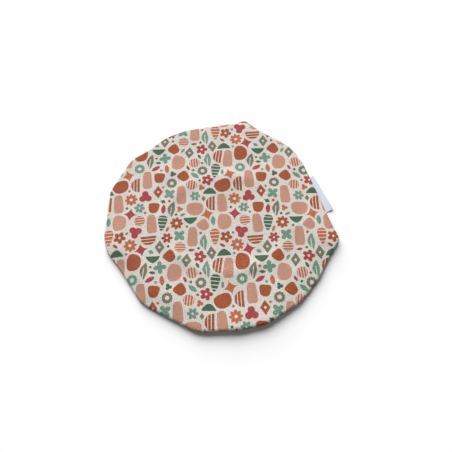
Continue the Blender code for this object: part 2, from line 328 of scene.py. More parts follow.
def blur_round(values, spread):
    """Values round a closed ring, smoothed over that many places."""
    reach = int(3 * spread) + 1
    steps = np.arange(-reach, reach + 1)
    weights = np.exp(-((steps / spread) ** 2) / 2)
    return sum(w * np.roll(values, s) for w, s in zip(weights, steps)) / weights.sum()


def ripples(plan, wavelength, amount, seed):
    """Gentle waves over the plan that follow no grid: a sum of a few crossing ones."""
    rng = np.random.default_rng(seed)
    total = np.zeros(plan.shape[:-1])
    for _ in range(7):
        way = directions(rng.uniform(0, 2 * math.pi))
        length = wavelength * rng.uniform(0.75, 1.4)
        total += np.cos(plan @ way * 2 * math.pi / length + rng.uniform(0, 2 * math.pi))
    return amount * total / 2


# The cloth


class Label:
    """Where the solid label lies: along its own line, and across it."""

    def __init__(self):
        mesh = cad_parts["folded_label"].data
        points = np.array([vertex.co for vertex in mesh.vertices])
        turn = math.radians(LABEL_BEARING)
        self.axes = directions(np.array([turn, turn + math.pi / 2]))
        along, across = self.axes @ points[:, :2].T
        self.start, self.tip = along.min(), along.max()
        self.left, self.right = across.min(), across.max()

    def lift_under(self, plan):
        """1 where cloth at that place in plan passes over the label, falling to 0 beside it."""
        along, across = plan @ self.axes[0], plan @ self.axes[1]
        outside = np.maximum(self.left - across, across - self.right)
        beside = 1 - smooth(outside / LABEL_ROOM)
        return beside * smooth((along - self.start + LABEL_ROOM) / LABEL_ROOM)


def rim_reach(bearings):
    """How far the solid cover's rim reaches from the middle, by rays that aim inward."""
    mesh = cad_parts["cover_cloth"].data
    corners = [vertex.co for vertex in mesh.vertices]
    tree = BVHTree.FromPolygons(corners, [face.vertices for face in mesh.polygons])
    start = 2 * max(CAD_BOX[1])
    reach = []
    for x, y in directions(bearings):
        ray = Vector((x * start, y * start, OUTLINE_LEVEL))
        reach.append(start - tree.ray_cast(ray, Vector((-x, -y, 0)))[3])
    return np.array(reach)


class Cloth:
    """The cover's cloth as rows of points at its mid surface, from its middle to its cut edge.

    A row is its points in plan, their heights, its stride in columns, and its part of the cloth.
    """

    def __init__(self, label):
        self.label = label
        self.bearings = 2 * math.pi * np.arange(COLUMNS) / COLUMNS
        low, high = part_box("elastic_band")
        self.elastic_level = (low.z + high.z) / 2
        self.centre = np.array([(low.x + high.x) / 2, (low.y + high.y) / 2])
        half_width = (high.x - low.x - ELASTIC_WIDTH) / 2
        half_depth = (high.y - low.y - ELASTIC_WIDTH) / 2
        away = directions(self.bearings)
        reach = np.hypot(half_depth * away[:, 0], half_width * away[:, 1])
        self.hem = self.centre + (half_width * half_depth / reach)[:, None] * away
        reach = blur_round(rim_reach(self.bearings), OUTLINE_BLUR) - CLOTH / 2
        self.rim = (reach + self.round_table(REACH) * MILLIMETRE)[:, None] * away
        self.outward = unit(self.rim - self.hem)
        self.corners = self.find_corners()
        self.lip = self.round_table(LIP)
        self.turn_down = self.round_table(TURN_DOWN) * MILLIMETRE
        self.widest = self.round_table(WIDEST)
        self.rim_height = self.round_table(RIM_HEIGHT) * MILLIMETRE
        self.slope_start = self.round_table(SLOPE_START)
        self.floor = CLOTH / 2 + TABLE_GAP
        self.gather_bearings = self.bearings + waves(self.bearings, GATHER_SPREAD)
        self.gather = np.cos(GATHERS * self.gather_bearings)
        rows = [*self.panel_rows(), *self.rim_rows(), *self.skirt_rows(), *self.casing_rows()]
        plans, levels, self.strides, self.parts = zip(*rows)
        self.points = np.dstack([plans, levels])
        around = np.roll(self.points, -1, axis=1) - np.roll(self.points, 1, axis=1)
        self.normals = unit(np.cross(np.gradient(self.points, axis=0), around))
        self.flat = self.find_flat()
        self.painted_fold_shade = self.find_painted_fold_shade()

    def find_corners(self):
        """1 where the outline turns most sharply, and 0 on its straight sides."""
        side = np.roll(self.rim, -1, axis=0) - self.rim
        heading = np.unwrap(np.arctan2(side[:, 1], side[:, 0]))
        turn = blur_round(np.diff(heading, append=heading[0] + 2 * math.pi), CORNER_BLUR)
        return smooth((turn / turn.mean() - 1.2) / 4.0)

    def round_table(self, table):
        """A table's values at each column, smoothed, where the table gives some bearings only."""
        values = np.interp(np.degrees(self.bearings), *zip(*table), period=360)
        return blur_round(values, TABLE_BLUR)

    def out_from_hem(self, distance):
        """Points in plan that far outward from the elastic's line."""
        return self.hem + distance * self.outward

    def over_label(self, plan, level):
        """The level raised where it must be, so that the label passes under the cloth."""
        needed = 2 * TAPE + TAPE_GAP + TABLE_GAP + CLOTH
        floor = self.floor + self.label.lift_under(plan) * needed
        above = level - floor
        return floor + (above + np.hypot(above, LABEL_MEETING)) / 2

    def panel_level(self, plan, share, offset):
        """The panel's height at a share of the way out and an offset from the elastic's line."""
        ridge = RIDGE_HEIGHT + RIDGE_LUMPS * waves(self.bearings, LUMPS) / 1.8
        bump = np.exp(-(np.abs((offset - RIDGE_SHIFT) / RIDGE_WIDTH) ** 2.4))
        if share <= 1:
            level = CENTRE_HEIGHT + (FOOT_HEIGHT - CENTRE_HEIGHT) * smooth(share * 1.1 - 0.1)
        else:
            run = SLOPE_END - self.slope_start
            rise = smooth((share - 1 - self.slope_start) / run)
            rise /= smooth((1 - self.slope_start) / run)
            dip = PANEL_DIP * math.sin(math.pi * min(1, (share - 1) / 0.9))
            level = FOOT_HEIGHT + (self.rim_height - FOOT_HEIGHT) * rise - dip
            level += CORNER_FOLD * self.corners * smooth((share - 1.3) / 0.6)
        for i, ripple in enumerate(RIPPLES):
            level += ripples(plan, *ripple, RIPPLE_SEED + i) * smooth(2.6 - share)
        return level + ridge * bump

    def panel_rows(self):
        """The top panel: in to out, to where the rim's fold starts."""
        hem_radius = np.linalg.norm(self.hem - self.centre, axis=1)
        inner = round(hem_radius.mean() / ROW_STEP)
        for i in range(1, inner + 1):
            share = i / inner
            plan = self.centre + share * (self.hem - self.centre)
            level = self.panel_level(plan, share, (share - 1) * hem_radius)
            yield plan, level, stride_at(share * hem_radius.mean()), "panel"
        edge = self.rim - (self.turn_down + self.lip * LIP_INSET)[:, None] * self.outward
        span = np.linalg.norm(edge - self.hem, axis=1)
        outer = round(span.mean() / ROW_STEP)
        for i in range(1, outer + 1):
            share = i / outer
            plan = self.hem + share * (edge - self.hem)
            yield plan, self.panel_level(plan, 1 + share, share * span), 1, "panel"

    def rim_rows(self):
        """The rim's fold, down from the panel's edge, with a groove in it where a lip shows."""
        top = self.panel_level(self.rim, 2.0, 1.0)
        bottom = self.over_label(self.rim, self.floor)
        lipped = smooth(self.lip / FULL_LIP)
        for i in range(RIM_ROWS):
            upper, inset, drop = plain_rim(i, self.widest)
            plain = inset * (self.turn_down if upper else RIM_FOLD)
            above, lip_inset, lip_drop = lip_rim(i)
            with_lip = lip_inset * RIM_FOLD + self.lip * (LIP_INSET if above else -LIP_OUTSET)
            inward = (1 - lipped) * plain + lipped * with_lip
            down = (1 - lipped) * drop + lipped * lip_drop
            plan = self.rim - inward[:, None] * self.outward
            yield plan, top + down * (bottom - top), 1, "rim"

    def skirt_rows(self):
        """The skirt, from under the rim in to the casing's seam, with its folds and gathers."""
        start = self.rim - RIM_FOLD * self.outward
        seam = self.out_from_hem(SEAM_OFFSET)
        count = round(np.linalg.norm(start - seam, axis=1).mean() / SKIRT_STEP)
        for i in range(count + 1):
            share = i / count
            plan = start + share * (seam - start)
            level = self.floor + share**1.5 * (self.elastic_level - SEAM_SPLIT - self.floor)
            wide = WIDE_FOLD * smooth((share - 0.2) / 0.3) * smooth((1.05 - share) / 0.3)
            widest = WIDEST_FOLD * smooth(share / 0.25) * smooth((0.75 - share) / 0.3)
            level += wide * (1 + np.cos(GATHERS / 2 * self.gather_bearings)) / 2
            level += widest * (1 + np.cos(GATHERS / 4 * self.gather_bearings + 0.6)) / 2
            level += self.gather * GATHER_HEIGHT / 2 * smooth((share - 0.45) / 0.5)
            level += ripples(plan, *SKIRT_RIPPLE, SKIRT_SEED) * share * (1 - share) * 4
            yield plan, self.over_label(plan, level), 1, "skirt"

    def casing_rows(self):
        """The casing: under the elastic, round its inner edge, and back to the seam above."""
        down = self.elastic_level - CHANNEL - GATHER_HEIGHT * (1 - self.gather) / 2
        up = self.elastic_level + CHANNEL + GATHER_HEIGHT * (1 + self.gather) / 2
        for offset, rise in CASING_PATH:
            yield self.out_from_hem(offset * MILLIMETRE), down + rise * (up - down), 1, "casing"
        end = self.elastic_level + SEAM_SPLIT + self.gather * GATHER_HEIGHT / 2
        yield self.out_from_hem(CASING_BACK), (end + up) / 2, 1, "casing"
        yield self.out_from_hem(CASING_END), end, 1, "casing"

    def find_flat(self):
        """Where each point lies on the flat cloth: its plan, then on along the way over the rim."""
        flat = self.points[:, :, :2].copy()
        edge = self.parts.index("rim") - 1
        steps = np.linalg.norm(np.diff(self.points[edge:], axis=0), axis=2)
        flat[edge + 1 :] = flat[edge] + np.cumsum(steps, axis=0)[:, :, None] * self.outward
        return flat

    def find_painted_fold_shade(self):
        """How much painted shade darkens each point: along the rim's fold, most where it has a lip.
        """
        first = self.parts.index("rim")
        painted_fold_shade = np.zeros(self.points.shape[:2])
        down = smooth((np.arange(RIM_ROWS) - 1) / 5)[:, None]
        painted_fold_shade[first : first + RIM_ROWS] = down * np.clip(self.lip, PLAIN_PAINTED_FOLD_SHADE, 1)
        return painted_fold_shade


def plain_rim(i, widest):
    """A row of the plain fold: whether it is on the upper side, how far in, and how far down."""
    turn = math.pi * (i + 1) / (RIM_ROWS + 1)
    inset = 1 - math.sin(turn) ** 0.9
    if turn < math.pi / 2:
        return True, inset, widest * (1 - math.cos(turn))
    return False, inset, 1 - (1 - widest) * (1 + math.cos(turn))


def lip_rim(i):
    """A row of the fold with a lip: whether it is above the lip, how far in, and how far down."""
    groove = RIM_ROWS // 2
    if i < groove:
        turn = math.pi * (i + 1) / (groove + 0.9)
        return True, 0.30 * (1 - math.sin(turn)), 0.38 * (1 - math.cos(turn)) / 2
    if i == groove:
        return True, GROOVE_INSET, GROOVE_DROP
    turn = math.pi * (i - 0.4 - groove) / groove
    down = GROOVE_DROP + (1 - GROOVE_DROP) * (1 - math.cos(turn)) / 2
    return False, 0.85 * (1 - math.sin(turn)), down


def stride_at(radius):
    """How many columns a face may span at that radius and stay narrow enough."""
    stride = 1
    width = 2 * math.pi * radius / COLUMNS
    while stride < COARSEST_STRIDE and 2 * stride * width <= WIDEST_FACE:
        stride *= 2
    return stride


class Sheet:
    """A mesh under construction: rows of points, each with its place on the flat cloth."""

    def __init__(self):
        self.rows = []
        self.quads = []
        self.triangles = []
        self.count = 0

    def add(self, row):
        """Adds a row and returns its points' numbers."""
        self.rows.append(row)
        self.count += len(row)
        return np.arange(self.count - len(row), self.count)

    def face(self, flip, *corners):
        """Adds faces, given each corner's numbers, and turns them over if they are to flip."""
        faces = np.stack(corners, axis=1)
        kind = self.quads if len(corners) == 4 else self.triangles
        kind.append(faces[:, ::-1] if flip else faces)

    def bridge(self, first, second, flip):
        """Joins two closed rows, where the second may have twice the points of the first."""
        after = np.roll(first, -1)
        if len(first) == len(second):
            self.face(flip, first, second, np.roll(second, -1), after)
        else:
            near, middle, far = second[::2], second[1::2], np.roll(second[::2], -1)
            self.face(flip, first, near, middle)
            self.face(flip, first, middle, after)
            self.face(flip, after, middle, far)

    def finish(self, name):
        """The mesh, its faces' middles on the flat cloth, and each one's highest point number."""
        points, flat = np.split(np.concatenate(self.rows), [3], axis=1)
        quads = np.concatenate(self.quads)
        triangles = np.concatenate(self.triangles)
        mesh = new_mesh(name, points, quads.tolist() + triangles.tolist())
        put_attribute(mesh, "flat", "POINT", flat)
        middles = np.concatenate([flat[quads].mean(axis=1), flat[triangles].mean(axis=1)])
        highest = np.concatenate([quads.max(axis=1), triangles.max(axis=1)])
        return mesh, middles, highest


def new_mesh(name, points, faces):
    """A smooth mesh from an array of points and a list of faces."""
    mesh = bpy.data.meshes.new(name)
    mesh.from_pydata(points.tolist(), [], faces)
    mesh.shade_smooth()
    return mesh


def put_attribute(mesh, name, domain, vectors):
    """Stores one vector for each point or face."""
    attribute = mesh.attributes.new(name, "FLOAT_VECTOR", domain)
    attribute.data.foreach_set("vector", np.asarray(vectors, np.float32).ravel())


def cloth_layer(sheet, cloth, side):
    """One face of the cloth as rows, finer on the printed face. Returns the cut edge's row."""
    reverse = side < 0
    surface = cloth.points + side * CLOTH / 2 * cloth.normals
    # The third part of each point's flat place carries the painted shade along the rim's fold
    layer = np.dstack([surface, cloth.flat, cloth.painted_fold_shade])
    last_panel = cloth.parts.index("rim") - 1
    middle = sheet.add(layer[0].mean(axis=0, keepdims=True))[0]
    previous = None
    for i, (stride, part) in enumerate(zip(cloth.strides, cloth.parts)):
        if reverse:
            from_edge = {"panel": last_panel - i, "skirt": len(cloth.parts) - i}.get(part, 0)
            if from_edge % 2:
                continue
            if part in ("panel", "rim"):
                stride = min(2 * stride, COARSEST_STRIDE)
        row = sheet.add(layer[i][::stride])
        if previous is None:
            sheet.face(reverse, np.full(len(row), middle), row, np.roll(row, -1))
        else:
            sheet.bridge(previous, row, reverse)
        previous = row
    return previous


# Sums for arrays and for a material's nodes alike


def operation(name, swapped=False):
    """A method that adds a Math node, with the Term as its first value or its last."""

    def apply(self, *others):
        values = (*others, self) if swapped else (self, *others)
        return self.math(name, *values)

    return apply


class Term:
    """A number that a material's nodes work out. Arithmetic on it adds Math nodes."""

    __array_ufunc__ = None
    __add__, __radd__ = operation("ADD"), operation("ADD", True)
    __sub__, __rsub__ = operation("SUBTRACT"), operation("SUBTRACT", True)
    __mul__, __rmul__ = operation("MULTIPLY"), operation("MULTIPLY", True)
    __truediv__, __rtruediv__ = operation("DIVIDE"), operation("DIVIDE", True)
    __pow__ = operation("POWER")
    __abs__ = operation("ABSOLUTE")

    def __init__(self, tree, socket):
        self.tree = tree
        self.socket = socket

    def math(self, kind, *values):
        node = self.tree.nodes.new("ShaderNodeMath")
        node.operation = kind
        for value, entry in zip(values, node.inputs):
            if isinstance(value, Term):
                value.to(entry)
            else:
                entry.default_value = value
        return Term(self.tree, node.outputs[0])

    def to(self, entry):
        self.tree.links.new(self.socket, entry)


ARRAY_MATHS = {
    "SINE": np.sin,
    "COSINE": np.cos,
    "ARCTAN2": np.arctan2,
    "MINIMUM": np.minimum,
    "MAXIMUM": np.maximum,
    "FRACT": lambda x: x - np.floor(x),
    "SQRT": np.sqrt,
}


def maths(kind, *values):
    """A function of numbers or arrays, or a Math node where any value is a node's."""
    for value in values:
        if isinstance(value, Term):
            return value.math(kind, *values)
    return ARRAY_MATHS[kind](*values)


# The print


def motif_inside(x, y, shape):
    """How far inside a motif's edge a point lies: one sum for the layout and the paint."""
    v = y / shape["height"]
    u = (x - v * v * shape["bend"]) / (shape["width"] * (v * shape["taper"] + 1))
    norm = shape["norm"]
    reach = (abs(u) ** norm + abs(v) ** norm) ** (1 / norm)
    wave = maths("SINE", maths("ARCTAN2", v, u) * shape["lobes"] * 0.5)
    lobe = maths("MAXIMUM", 1 - wave * wave, 0.0)
    edge = 1 - shape["depth"] + shape["depth"] * lobe ** shape["tip_power"]
    inside = (edge - reach) * maths("MINIMUM", shape["width"], shape["height"])
    hole = maths("SQRT", x * x + y * y) - shape["hole"]
    stripe = abs(maths("FRACT", y / shape["stripes"]) - 0.5) * shape["stripes"] - STRIPE_GAP / 2
    vein = maths("MAXIMUM", abs(x) - shape["vein"], y - VEIN_SHARE * shape["height"])
    for cut in (hole, y - shape["clip"], stripe, vein):
        inside = maths("MINIMUM", inside, cut)
    return inside


# The numbers that shape a motif, in threes, as the cloth's faces carry them
SHAPE_ROWS = {
    "motif_place": ("x", "y", "turn"),
    "motif_size": ("width", "height", "norm"),
    "motif_lobes": ("lobes", "tip_power", "depth"),
    "motif_cut": ("hole", "clip", "stripes"),
    "motif_trim": ("vein", "taper", "bend"),
    "motif_ink": ("red", "green", "blue"),
}


def motif_outline(shape, count):
    """Points round a motif's edge, about its own middle."""
    turns = 2 * math.pi * np.arange(count) / count
    cos, sin = np.cos(turns), np.sin(turns)
    lobe = np.cos(turns * shape["lobes"] / 2) ** 2
    edge = 1 - shape["depth"] + shape["depth"] * lobe ** shape["tip_power"]
    norm = (np.abs(cos) ** shape["norm"] + np.abs(sin) ** shape["norm"]) ** (1 / shape["norm"])
    v = edge / norm * sin
    x = shape["width"] * edge / norm * cos * (1 + shape["taper"] * v) + shape["bend"] * v * v
    y = np.maximum(shape["height"] * v, shape["clip"])
    if shape["clip"] > -1:
        y = y - shape["height"] / 2
    return np.stack([x, y], axis=1)


def turned(points, turn):
    """Points turned about the origin by an angle, or by each of a column of angles."""
    cos, sin = np.cos(turn), np.sin(turn)
    x, y = points[..., 0], points[..., 1]
    return np.stack([x * cos - y * sin, x * sin + y * cos], axis=-1)


def tile_gap(first, second):
    """How far apart places lie on the repeating tile."""
    gap = np.abs(np.asarray(first) - second) % TILE
    return np.linalg.norm(np.minimum(gap, np.array(TILE) - gap), axis=-1)


def area_of(shape):
    """The area that a motif is taken to cover."""
    return shape["width"] * shape["height"]


class Layout:
    """The print's tile: large motifs, then small ones between them, as snug as the gap allows."""

    def __init__(self):
        self.rng = np.random.default_rng(LAYOUT_SEED)
        self.cells = np.round(np.array(TILE) / TILE_CELL).astype(int)
        self.distance = np.full(self.cells, FARTHEST)
        self.owner = np.zeros(self.cells, int)
        self.motifs = []
        self.used = dict.fromkeys(INKS, 0.0)
        for group in (LARGE, SMALL):
            for shape in self.mixed(group):
                self.place(shape)

    def mixed(self, group):
        """A group's motifs, one by one, the larger ones mostly first."""
        shapes = []
        for count, width, height, changes in group:
            shape = {"width": width, "height": height, **changes}
            for key in set(LENGTHS) & set(shape):
                shape[key] *= MILLIMETRE
            shapes += [{**PLAIN, "kind": (width, height), **shape}] * count
        ranks = [area_of(s) * math.exp(self.rng.normal(0, SIZE_SPREAD)) for s in shapes]
        return [shapes[i] for i in np.argsort(ranks)[::-1]]

    def cell_of(self, points):
        """The tile's cells that hold those points of the endless cloth."""
        index = np.floor(points / TILE_CELL).astype(int)
        return index[..., 0] % self.cells[0], index[..., 1] % self.cells[1]

    def place(self, shape):
        """Puts one motif close to its neighbours and far from its like, if there is room."""
        outline = motif_outline(shape, 48)
        centres = self.rng.uniform(0, 1, (LAYOUT_TRIES, 2)) * TILE
        tilts = self.rng.choice(shape["tilt"], LAYOUT_TRIES)
        turns = np.radians(tilts + self.rng.uniform(-TILT_JITTER, TILT_JITTER, LAYOUT_TRIES))
        edges = centres[:, None] + turned(outline, turns[:, None])
        clear = self.distance[self.cell_of(edges)]
        middle = self.distance[self.cell_of(centres)]
        fits = (clear.min(axis=1) >= MOTIF_GAP) & (middle >= MOTIF_GAP)
        if not fits.any():
            return
        cost = clear.mean(axis=1) + KIND_COST * self.likeness(shape, centres)
        best = np.where(fits, cost, np.inf).argmin()
        self.settle(shape, centres[best], turns[best])

    def likeness(self, shape, centres):
        """1 where a motif of the same kind lies at each place, falling to 0 far from any."""
        nearest = np.full(len(centres), KIND_APART)
        for motif in self.motifs:
            if motif["kind"] == shape["kind"]:
                nearest = np.minimum(nearest, tile_gap(centres, motif["centre"]))
        return 1 - nearest / KIND_APART

    def settle(self, shape, centre, turn):
        """Fixes a motif in its place, with the ink that suits it, and marks the ground it takes."""
        shift = shape["height"] / 2 if shape["clip"] > -1 else 0.0
        x, y = centre - turned(np.array([0.0, shift]), turn)
        area = area_of(shape)
        ink = self.choose_ink(shape["inks"], centre, area)
        self.used[ink] += area
        shape = {**shape, "x": x, "y": y, "turn": turn, "centre": centre, "ink": ink}
        shape.update(zip(SHAPE_ROWS["motif_ink"], INKS[ink][0]))
        self.motifs.append(shape)
        self.mark(shape, centre, turn)

    def choose_ink(self, inks, centre, area):
        """The ink that is most short of its share and least near to itself."""
        total = sum(self.used.values()) + area
        scores = []
        for ink in inks:
            short = INKS[ink][1] - self.used[ink] / total
            apart = [float(tile_gap(centre, m["centre"])) for m in self.motifs if m["ink"] == ink]
            scores.append(INK_SHARE_WEIGHT * short + min([INK_APART] + apart) / INK_APART)
        return inks[int(np.argmax(scores))]

    def mark(self, shape, centre, turn):
        """Works out how far each cell near the motif is from it, and which motif is nearest."""
        outline = turned(motif_outline(shape, 120), turn)
        reach = int((np.abs(outline).max() + FARTHEST) / TILE_CELL)
        span = np.arange(-reach, reach + 1)
        base = np.floor(centre / TILE_CELL).astype(int)
        grid = np.meshgrid(base[0] + span, base[1] + span, indexing="ij")
        points = (np.stack(grid, axis=-1) + 0.5) * TILE_CELL
        near = points[:, :, None, :] - (centre + outline)
        distance = np.sqrt((near**2).sum(axis=3).min(axis=2))
        local = turned(points - (shape["x"], shape["y"]), -turn)
        whole = {**shape, "hole": -1.0, "stripes": 1.0, "vein": -1.0}
        inside = motif_inside(local[..., 0], local[..., 1], whole) > 0
        distance = np.where(inside, 0.0, distance)
        cells = self.cell_of(points)
        nearer = distance < self.distance[cells]
        self.distance[cells] = np.minimum(distance, self.distance[cells])
        self.owner[cells] = np.where(nearer, len(self.motifs) - 1, self.owner[cells])

    def motifs_at(self, points):
        """For each place on the flat cloth, the numbers of its nearest motif, in that repeat."""
        owner = self.owner[self.cell_of(points)]
        rows = {}
        for name, keys in SHAPE_ROWS.items():
            table = np.array([[motif[key] for key in keys] for motif in self.motifs])
            rows[name] = table[owner]
        place = rows["motif_place"]
        place[:, :2] += np.round((points - place[:, :2]) / TILE) * TILE
        return rows


# Materials


def new_material(name):
    """A material, its nodes and its Principled shader."""
    material = bpy.data.materials.new(name)
    material.use_nodes = True
    return material, material.node_tree, material.node_tree.nodes["Principled BSDF"]


def split_vector(tree, output):
    """The three parts of a node's vector."""
    split = tree.nodes.new("ShaderNodeSeparateXYZ")
    tree.links.new(output, split.inputs[0])
    return [Term(tree, part) for part in split.outputs]


def read_vector(tree, name):
    """The three parts of a named attribute."""
    attribute = tree.nodes.new("ShaderNodeAttribute")
    attribute.attribute_name = name
    return split_vector(tree, attribute.outputs["Vector"])


def read_position(tree):
    """The place of the point on the surface."""
    return split_vector(tree, tree.nodes.new("ShaderNodeNewGeometry").outputs["Position"])


def noise(tree, x, y, width, height=None, detail=2.0):
    """Noise from 0 to 1 over a plane, in grains of that width and height."""
    join = tree.nodes.new("ShaderNodeCombineXYZ")
    (x / width).to(join.inputs[0])
    (y / (height or width)).to(join.inputs[1])
    texture = tree.nodes.new("ShaderNodeTexNoise")
    texture.inputs["Scale"].default_value = 1.0
    texture.inputs["Detail"].default_value = detail
    tree.links.new(join.outputs[0], texture.inputs["Vector"])
    return Term(tree, texture.outputs[0])


def ramp(tree, value, low, high):
    """0 below the low value, 1 above the high one, and smooth between."""
    node = tree.nodes.new("ShaderNodeMapRange")
    node.interpolation_type = "SMOOTHSTEP"
    value.to(node.inputs["Value"])
    node.inputs["From Min"].default_value = low
    node.inputs["From Max"].default_value = high
    return Term(tree, node.outputs[0])


def blend_colour(tree, share, first, second):
    """A colour between two others, each a colour or a node's output."""
    node = tree.nodes.new("ShaderNodeMix")
    node.data_type = "RGBA"
    share.to(node.inputs["Factor"])
    entries = [entry for entry in node.inputs if entry.type == "RGBA"]
    for entry, colour in zip(entries, (first, second)):
        if isinstance(colour, tuple):
            entry.default_value = (*colour, 1.0)
        else:
            tree.links.new(colour, entry)
    return next(o for o in node.outputs if o.type == "RGBA")


def dress(tree, shader, colour, light, roughness, raised, height):
    """Gives a shader its colour, how light that is, its roughness, and threads of that height."""
    scale = tree.nodes.new("ShaderNodeVectorMath")
    scale.operation = "SCALE"
    tree.links.new(colour, scale.inputs[0])
    light.to(scale.inputs["Scale"])
    tree.links.new(scale.outputs[0], shader.inputs["Base Color"])
    roughness.to(shader.inputs["Roughness"])
    bump = tree.nodes.new("ShaderNodeBump")
    bump.inputs["Distance"].default_value = height
    raised.to(bump.inputs["Height"])
    tree.links.new(bump.outputs[0], shader.inputs["Normal"])


def cords(x, pitch):
    """How high cords of that pitch stand across x, from 0 between them to 1."""
    return abs(maths("SINE", x * (math.pi / pitch)))


def plain_weave(x, y, pitch):
    """How high a plain weave stands, from 0 in its gaps to 1 on its threads."""
    across = maths("COSINE", x * (math.pi / pitch))
    along = maths("COSINE", y * (math.pi / pitch))
    over_under = across * along * 0.4
    return maths("MAXIMUM", abs(across) * (over_under + 0.6), abs(along) * (0.6 - over_under))


def printed_cloth():
    """Cotton canvas with its print: a plain weave with slubs, and ink that misses the gaps."""
    material, tree, shader = new_material("printed_cloth")
    # The flat attribute's third part is the painted shade along the rim's fold
    x, y, painted_fold_shade = read_vector(tree, "flat")
    shape = {}
    for name, keys in SHAPE_ROWS.items():
        shape.update(zip(keys, read_vector(tree, name)))
    reverse = read_vector(tree, "reverse")[0]

    drift = noise(tree, x, y, THREAD_DRIFT, detail=1.0) - 0.5
    threads = plain_weave(x + drift * 0.0003, y - drift * 0.0003, THREAD_PITCH)
    slubs = noise(tree, x, y, SLUB_LENGTH, SLUB_WIDTH) + noise(tree, x, y, SLUB_WIDTH, SLUB_LENGTH)
    mottle = noise(tree, x, y, MOTTLE, detail=3.0)
    speckle = noise(tree, x, y, SPECKLE, detail=1.0) - 0.5

    dx = x - shape["x"]
    dy = y - shape["y"]
    cos = maths("COSINE", shape["turn"])
    sin = maths("SINE", shape["turn"])
    inside = motif_inside(dx * cos + dy * sin, dy * cos - dx * sin, shape)
    hand_cut = noise(tree, x, y, HAND_CUT_LENGTH, detail=1.0) - 0.5
    inked = ramp(tree, inside + hand_cut * (2 * HAND_CUT), -INK_BLEED, INK_BLEED)
    cover = 0.87 + threads * 0.10 + mottle * 0.12 - speckle * 0.45
    strength = inked * cover * (1 - reverse * (1 - REVERSE_STRENGTH))

    ink = tree.nodes.new("ShaderNodeAttribute")
    ink.attribute_name = "motif_ink"
    colour = blend_colour(tree, strength, GROUND, ink.outputs["Vector"])
    light = 0.95 + threads * 0.06 + (slubs - 1) * 0.12
    light += (mottle - 0.5) * 0.16 + speckle * (1.1 + inked * 0.8)
    # Painted shade: darkens the colour along the rim's fold, most where the lip shows
    light *= 1 - painted_fold_shade * PAINTED_FOLD_SHADE_STRENGTH
    shader.inputs["Sheen Weight"].default_value = 0.12
    shader.inputs["Sheen Roughness"].default_value = 0.5
    shader.inputs["Specular IOR Level"].default_value = 0.25
    creases = noise(tree, x, y, CREASE, detail=3.0)
    raised = threads + (slubs - 1) * 0.5 + creases * 1.2
    dress(tree, shader, colour, light, 0.94 - threads * 0.08 - inked * 0.04, raised, 0.00005)
    return material


def satin_label():
    """Satin-woven tape: fine floats across it, and a firmer woven edge on each side."""
    material, tree, shader = new_material("satin_label")
    along, across, _ = read_vector(tree, "flat")
    floats = cords(along, 0.00028)
    steps = cords(across + along * 0.5, 0.0011)
    border = LABEL_FLAT[0] / 2
    edge = ramp(tree, abs(across), border - 0.0014, border - 0.0009)
    slubs = noise(tree, along, across, 0.0006, 0.012)
    mottle = noise(tree, along, across, 0.004)
    light = 0.95 + floats * 0.03 + slubs * 0.05 + mottle * 0.04 - edge * 0.03
    colour = blend_colour(tree, mottle, linear(205, 214, 226), linear(210, 218, 228))
    shader.inputs["Sheen Weight"].default_value = 0.15
    shader.inputs["Specular IOR Level"].default_value = 0.35
    raised = floats * (1 - edge * 0.6) + steps * 0.3 + edge * 1.4
    dress(tree, shader, colour, light, 0.42 + floats * 0.06 + edge * 0.2, raised, 0.00003)
    return material


def woven_elastic(cloth):
    """Braided elastic: rubber cords along the band, under thread that crosses them in chevrons."""
    material, tree, shader = new_material("woven_elastic")
    place = read_position(tree)
    half = (cloth.hem.max(axis=0) - cloth.hem.min(axis=0)) / 2
    x, y = ((place[i] - float(cloth.centre[i])) / float(half[i]) for i in (0, 1))
    mean = float(half.mean())
    across = (maths("SQRT", x * x + y * y) - 1) * mean
    along = maths("ARCTAN2", y, x) * mean
    rubber = cords(across, 0.00085)
    chevrons = cords(along + abs(across), 0.0007)
    fuzz = noise(tree, along, across, 0.0006)
    light = 0.80 + rubber * 0.10 + chevrons * 0.06 + fuzz * 0.08
    colour = blend_colour(tree, fuzz, linear(228, 226, 220), linear(236, 234, 229))
    dress(tree, shader, colour, light, 0.9 - rubber * 0.1, rubber + chevrons * 0.5, 0.0001)
    return material


def sewing_thread():
    """Off-white polyester thread with its twist."""
    material, tree, shader = new_material("sewing_thread")
    x, y, z = read_position(tree)
    twist = cords(x + y + z * 2, 0.00022)
    fuzz = noise(tree, x, y, 0.0008)
    colour = blend_colour(tree, fuzz, linear(212, 204, 192), linear(226, 219, 208))
    dress(tree, shader, colour, 0.86 + twist * 0.14, 0.7 - twist * 0.1, twist, 0.00004)
    return material


# Pieces


def add_object(name, data):
    """Puts an object in the scene."""
    added = bpy.data.objects.new(name, data)
    bpy.context.scene.collection.objects.link(added)
    return added


def add_piece(name, mesh, material):
    """Adds a finished mesh as a piece that goes with the body."""
    mesh.materials.append(material)
    piece = add_object(name, mesh)
    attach(piece, "root")
    return piece


def build_cover(cloth, layout):
    """The printed cloth: both faces of one sheet, joined along its cut edge."""
    sheet = Sheet()
    outer = cloth_layer(sheet, cloth, 1)
    outer_count = sheet.count
    inner = cloth_layer(sheet, cloth, -1)
    sheet.bridge(outer, inner, False)
    mesh, middles, highest = sheet.finish("printed_cover")
    for name, rows in layout.motifs_at(middles[:, :2]).items():
        put_attribute(mesh, name, "FACE", rows)
    reverse = (highest >= outer_count).astype(float)
    put_attribute(mesh, "reverse", "FACE", np.column_stack([reverse] * 3))
    return mesh


